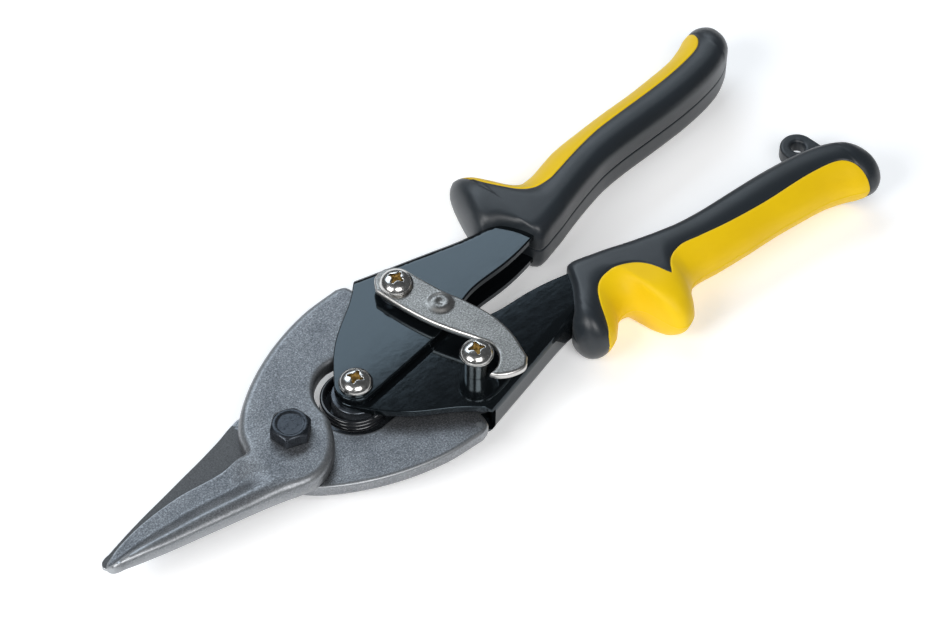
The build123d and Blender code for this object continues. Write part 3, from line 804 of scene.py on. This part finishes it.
class Grip:
    """The outer skin of one grip as D-shaped sections, and where its inlay begins."""

    def __init__(self, side, inner, outer, half, boundary):
        self.side = side
        self.middle = sum(height_range("left_frame" if side > 0 else "right_frame")) / 2
        self.inner, self.outer, self.half, self.boundary = [
            monotone(*zip(*curve)) for curve in (inner, outer, half, boundary)]
        self.start, self.end = inner[0][0], inner[-1][0]
        self.inlay_start, self.inlay_end = boundary[0][0], boundary[-1][0]

    def upper_half(self, x):
        """The section's upper half from the inner side's middle to the outer side's middle."""
        inner, outer, half = self.inner(x), self.outer(x), self.half(x)
        width = outer - inner
        corner = min(CORNER, half * 0.62, width * 0.3)
        bulge = min(BULGE, (width - corner) * 0.88)
        points = [(inner, 0), (inner, (half - corner) * 0.5), (inner, half - corner)]
        for t in np.linspace(0, math.pi / 2, 9)[1:]:
            points.append((inner + corner * (1 - math.cos(t)), half - corner + corner * math.sin(t)))
        flat_end = outer - bulge
        points += [(inner + corner + (flat_end - inner - corner) * k, half) for k in (0.35, 0.7)]
        for t in np.linspace(0, math.pi / 2, 25):
            points.append((flat_end + bulge * math.sin(t), half * math.cos(t)))
        p = np.array(points)
        crown = 0.45 * np.sin(np.pi * np.clip((p[:, 0] - inner) / width, 0, 1)) * (half / GRIP_HALF)
        p[:, 1] *= 1 - 0.045 + 0.1 * crown
        return p

    def ring(self, x, black_count=26, yellow_count=22):
        """The half section split at the inlay's boundary: black points, yellow points, with their normals."""
        p = self.upper_half(x)
        run = np.concatenate([[0], np.cumsum(np.linalg.norm(np.diff(p, axis=0), axis=1))])
        total = run[-1]
        split = total
        if self.inlay_start < x < self.inlay_end:
            edge = self.boundary(x)
            past = np.where((p[:, 0] > edge) & (run > total * 0.2))[0]
            if len(past):
                i = past[0]
                share = (edge - p[i - 1, 0]) / max(p[i, 0] - p[i - 1, 0], 1e-6)
                split = run[i - 1] + (run[i] - run[i - 1]) * min(max(share, 0), 1)
        yellow = total - split
        fine = np.array([0, 0.12, 0.26, 0.45, 0.8])
        fine = fine * min(1, split / 6)
        edge_fine = np.array(EDGE_STEPS) * min(1, split / 6)
        black = np.concatenate([fine, np.linspace(fine[-1], split - edge_fine[0], black_count - 8)[1:-1],
                                split - edge_fine])
        scale = min(1, yellow / 5)
        rim = np.array([0, 0.1, 0.25, 0.5, 0.9]) * scale
        tail = np.array([0.8, 0.45, 0.24, 0.1, 0]) * scale
        amber = split + np.concatenate([rim, np.linspace(rim[-1], yellow - tail[0], yellow_count - 8)[1:-1],
                                        yellow - tail])

        def sample(at):
            points = np.stack([np.interp(at, run, p[:, 0]), np.interp(at, run, p[:, 1])], 1)
            before = np.stack([np.interp(at - 0.2, run, p[:, 0]), np.interp(at - 0.2, run, p[:, 1])], 1)
            after = np.stack([np.interp(at + 0.2, run, p[:, 0]), np.interp(at + 0.2, run, p[:, 1])], 1)
            along = after - before
            normal = np.stack([-along[:, 1], along[:, 0]], 1)
            return points, normal / np.maximum(np.linalg.norm(normal, axis=1), 1e-9)[:, None]

        return sample(black), black, split, sample(amber), amber - split, yellow

    def stations(self, start, end, step=0.85):
        count = int((end - start) / step)
        middle = np.linspace(start + 3, end - 3, count)
        nose = start + 3 * (1 - np.cos(np.linspace(0, math.pi / 2, 14)))[:-1]
        tail = end - 3 * (1 - np.cos(np.linspace(math.pi / 2, 0, 14)))[1:]
        return np.concatenate([nose, middle, tail])

    def place(self, x, point):
        return (x, self.side * point[0], self.middle + point[1])


def skin(rings):
    """Closes a row of equal closed rings, with a cap at each end."""
    vertices, faces = [], []
    size = len(rings[0])
    for ring in rings:
        vertices += ring
    for i in range(len(rings) - 1):
        for k in range(size):
            j = (k + 1) % size
            faces.append((i * size + k, i * size + j, (i + 1) * size + j, (i + 1) * size + k))
    faces.append(tuple(range(size)))
    faces.append(tuple((len(rings) - 1) * size + k for k in reversed(range(size))))
    return vertices, faces


def flip(points):
    """Mirrors a half section below the parting plane, in reverse order."""
    return [(y, -z) for y, z in reversed(points)]


def black_body(grip):
    rings = []
    for x in grip.stations(grip.start, grip.end):
        (points, normals), run, split, (amber, amber_normals), amber_run, yellow = grip.ring(x)
        seam = 0.34 * np.exp(-(run / 0.24) ** 2) * ease(0.5, 3, split)
        lip = 0.22 * np.exp(-((split - run) / 0.3) ** 2) * min(1, yellow / 3)
        black = points - normals * (seam + lip)[:, None]
        sunk = 1.1 * ease(0, 0.35, amber_run) * min(1, yellow / 5)
        under = amber - amber_normals * (sunk + 0.22 * min(1, yellow / 3) * (amber_run < 0.05))[:, None]
        half = [tuple(q) for q in black] + [tuple(q) for q in under[1:]]
        loop = half + flip(half)[1:-1]
        rings.append([grip.place(x, q) for q in loop])
    return skin(rings)


def yellow_inlay(grip):
    rings = []
    for x in grip.stations(grip.inlay_start + 0.02, grip.inlay_end - 0.02):
        _, _, _, (amber, normals), run, yellow = grip.ring(x)
        full = min(1, yellow / 4)
        rim = (PROUD + 0.3) * np.exp(-(run / 0.22) ** 2) * full
        ridge = 0.2 * np.exp(-((yellow - run) / 0.22) ** 2) * full
        outer = amber + normals * (PROUD * full - rim + ridge)[:, None]
        inner = amber - normals * (INLAY_DEPTH * full * ease(-0.2, 0.3, run))[:, None]
        top = [tuple(q) for q in outer]
        inside_points = [tuple(q) for q in inner]
        loop = top + flip(top)[1:] + list(reversed(flip(inside_points)))[1:-1] + list(reversed(inside_points))[:-1]
        rings.append([grip.place(x, q) for q in loop])
    return skin(rings)


rear_inner = [(105, 8.05), (110, 9.75), (115, 11.3), (120, 12.7), (128, 14.5), (136, 15.3), (147, 15.8), (158, 16.4),
              (167, 17.4), (176, 19.3), (183, 22.4), (187, 26), (END_X, 31)]
rear_outer = [(130, 30.3), (142, 31.1), (150, 31.4), (159, 32.2), (169, 33.4), (176, 35.6), (180, 37.4), (184, 38.2),
              (186.8, 37), (188.2, 34.6), (END_X, 31.6)]
rear_half = [(178, GRIP_HALF), (183, 8.9), (186, 7.6), (188, 5), (END_X, 0.8)]
left = Grip(
    1,
    inner=[(82.8, 20.0), (84.2, 18.4), (88, 16.2), (90.6, 12.9), (92.3, 9.4), (93.3, 6.2), (94.6, 5.4), (97, 5.75),
           (100, 6.6)] + rear_inner,
    outer=[(82.8, 20.6), (83.5, 23.5), (85, 28.6), (86.6, 33.6), (88.6, 37.8), (91.2, 39.7), (94, 38.4), (96.6, 34.8),
           (99.4, 30.2), (102, 27.4), (104.5, 26.2), (108, 26.4), (114, 27.9), (120, 29.4)] + rear_outer,
    half=[(82.8, 0.8), (83.3, 3.6), (84.6, 6.4), (87, 8.5), (90.5, GRIP_HALF)] + rear_half,
    boundary=[(92.2, 40), (93.6, 31), (95.2, 27.6), (97, 25), (98.6, 22.8), (100.4, 21), (102.6, 19.6),
              (105.6, 18.7), (109, 18.5), (112.6, 19.2), (117.4, 20.4), (124.2, 22), (133, 23.6), (142, 24.2),
              (160, 25.3), (171, 26.9), (176, 28.2), (179, 30.4), (180.6, 33.5), (181.6, 39)],
)
right = Grip(
    -1,
    inner=[(80.8, 23.6), (82, 20.6), (84.6, 18.2), (88, 14.2), (90.4, 10.9), (92, 7.8), (93.4, 5.6), (95, 5.4),
           (97.4, 5.9), (100.5, 6.8)] + rear_inner,
    outer=[(80.8, 24.4), (81.4, 27.2), (83, 29.6), (86.2, 30.9), (89.2, 30.1), (92, 27.8), (94.6, 25.6), (97.2, 24.9),
           (99.6, 25.3), (101.6, 26.9), (102.8, 29.6), (103.7, 35), (105, 38.3), (107.4, 39.5), (110.4, 38.6),
           (113.4, 35.8), (116.4, 31.6), (119, 29.9), (122.5, 29.5)] + rear_outer,
    half=[(80.8, 0.8), (81.3, 4), (82.8, 7.2), (85.4, 8.9), (89, GRIP_HALF)] + rear_half,
    boundary=[(84.8, 36), (86.1, 31.2), (88, 28), (89.2, 24.9), (90.8, 21.6), (93, 18.5), (95.3, 16.7), (97.6, 15.9),
              (100.4, 15.7), (103, 16.3), (106.1, 17.8), (108.1, 19.5), (109.6, 21.7), (110.9, 24.8), (111.9, 27.7),
              (114, 25.2), (116, 23.4), (118.6, 22.2), (121.4, 21.8), (127.7, 22.9), (137.8, 24.5), (152.3, 25.8),
              (163.8, 26.3), (172.3, 27.3), (177.3, 28.8), (179.9, 31.4), (180.9, 34), (181.7, 39)],
)
for grip, word in ((left, "left"), (right, "right")):
    body = word + "_handle"
    make_object(word + "_grip_body", *black_body(grip), BLACK_RUBBER, body, "black_rubber",
                [word + "_grip"], sharp=50)
    make_object(word + "_grip_colour", *yellow_inlay(grip), YELLOW_RUBBER, body, "yellow_rubber",
                [word + "_grip_inlay"], sharp=50)

# --- Hang lug ---

LUG = (176.8, -13.6)
LUG_RADIUS = 5.2
LUG_HALF = 2.3
LUG_HOLE = 2.0
lug_outline = evenly(
    arc(LUG, LUG_RADIUS, 0, 180)
    + through([(171.6, -13.6), (171.0, -17.0), (168.4, -20.4)])
    + through([(168.4, -20.4), (177, -24.5), (184.6, -25)], 8)
    + through([(184.6, -25), (182.8, -20), (182.0, -13.6)]),
    0.4,
)
lug_mesh = relief_plate(lug_outline, right.middle - LUG_HALF, right.middle + LUG_HALF, 0.5, 0.8, 0.8,
                        [np.array(arc(LUG, LUG_HOLE, 0, -360))])
make_object("hang_lug", *lug_mesh, BLACK_RUBBER, "right_handle", "black_rubber")

# --- CAD pieces whose shape is right take their finish ---

for material, nodes in (
    (ENAMEL, ["left_frame", "right_frame"]),
    # The latch spacer takes the black oxide so it merges with the dark under the latch: painted shade on a real part.
    (OXIDE, ["pivot_washer", "pivot_nut", "centre_upper_washer", "centre_lower_washer", "spring_bush",
             "latch_spacer"]),
    (NICKEL, ["centre_nut", "left_tail_nut", "right_tail_nut", "catch_sleeve"]),
    (ZINC, ["left_tail_spacer", "right_tail_spacer"]),
):
    for node in nodes:
        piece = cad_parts[node]
        for material_slot in piece.material_slots:
            material_slot.material = material

# --- Studio ---

floor_mesh = bpy.data.meshes.new("floor")
FLOOR = 3.0
corners = [(-FLOOR, -FLOOR), (FLOOR, -FLOOR), (FLOOR, FLOOR), (-FLOOR, FLOOR)]
floor_mesh.from_pydata([(x, y, cad_low.z - 0.0002) for x, y in corners], [], [(0, 1, 2, 3)])
floor = bpy.data.objects.new("floor", floor_mesh)
bpy.context.scene.collection.objects.link(floor)
floor_shader = Shader("floor")
floor_shader.set(Base_Color=(0.93, 0.93, 0.935, 1), Roughness=0.85, Specular_IOR_Level=0.1,
                 Emission_Color=(1, 1, 1, 1), Emission_Strength=0.3)
floor_mesh.materials.append(floor_shader.material)


def soft_light(name, place, target, size, watts, tint=(1, 1, 1)):
    lamp = bpy.data.lights.new(name, "AREA")
    lamp.shape = "RECTANGLE"
    lamp.size, lamp.size_y = size
    lamp.energy = watts
    lamp.color = tint
    obj = bpy.data.objects.new(name, lamp)
    obj.location = place
    obj.rotation_euler = (Vector(target) - Vector(place)).to_track_quat("-Z", "Y").to_euler()
    bpy.context.scene.collection.objects.link(obj)


soft_light("window", (0.24, 0.672, 0.66), (0.24, 0.672, 0), (0.95, 0.55), 5.4, (0.88, 0.99, 1.09))
soft_light("left_key", (-0.76, 0.0, 0.60), (0, 0, 0), (0.46, 0.46), 4.7)
soft_light("right_key", (-0.24, -0.60, 0.70), (0, 0, 0), (0.46, 0.46), 4.2)
world = bpy.data.worlds.new("studio")
world.use_nodes = True
world.node_tree.nodes["Background"].inputs["Color"].default_value = (0.93, 0.96, 1.0, 1)
world.node_tree.nodes["Background"].inputs["Strength"].default_value = 0.10
bpy.context.scene.world = world
bpy.context.scene.view_settings.view_transform = "Standard"

# --- Camera: a long lens from the blade side, at the reference viewing angle ---

FOCAL_PIXELS, FRAME_PIXELS, SENSOR = 2868.73, 950, 36.0
azimuth, elevation, roll = (math.radians(v) for v in (42.003, 50.324, 0.5626))
TARGET, DISTANCE = Vector((65.2486, 0.6449, 0)), 785.179
back = Vector((-math.sin(azimuth) * math.cos(elevation), -math.cos(azimuth) * math.cos(elevation), math.sin(elevation)))
level_right = Vector((math.cos(azimuth), -math.sin(azimuth), 0))
level_up = back.cross(level_right)
right_axis = level_right * math.cos(roll) + level_up * math.sin(roll)
up_axis = level_up * math.cos(roll) - level_right * math.sin(roll)
lens = bpy.data.cameras.new("camera")
lens.sensor_width = SENSOR
lens.lens = FOCAL_PIXELS / FRAME_PIXELS * SENSOR
lens.clip_start, lens.clip_end = 0.01, 20
camera = bpy.data.objects.new("camera", lens)
turn = Matrix((right_axis, up_axis, back)).transposed().to_4x4()
camera.matrix_world = Matrix.Translation(PIVOT + (TARGET + back * DISTANCE) * MM) @ turn
bpy.context.scene.collection.objects.link(camera)
bpy.context.scene.camera = camera
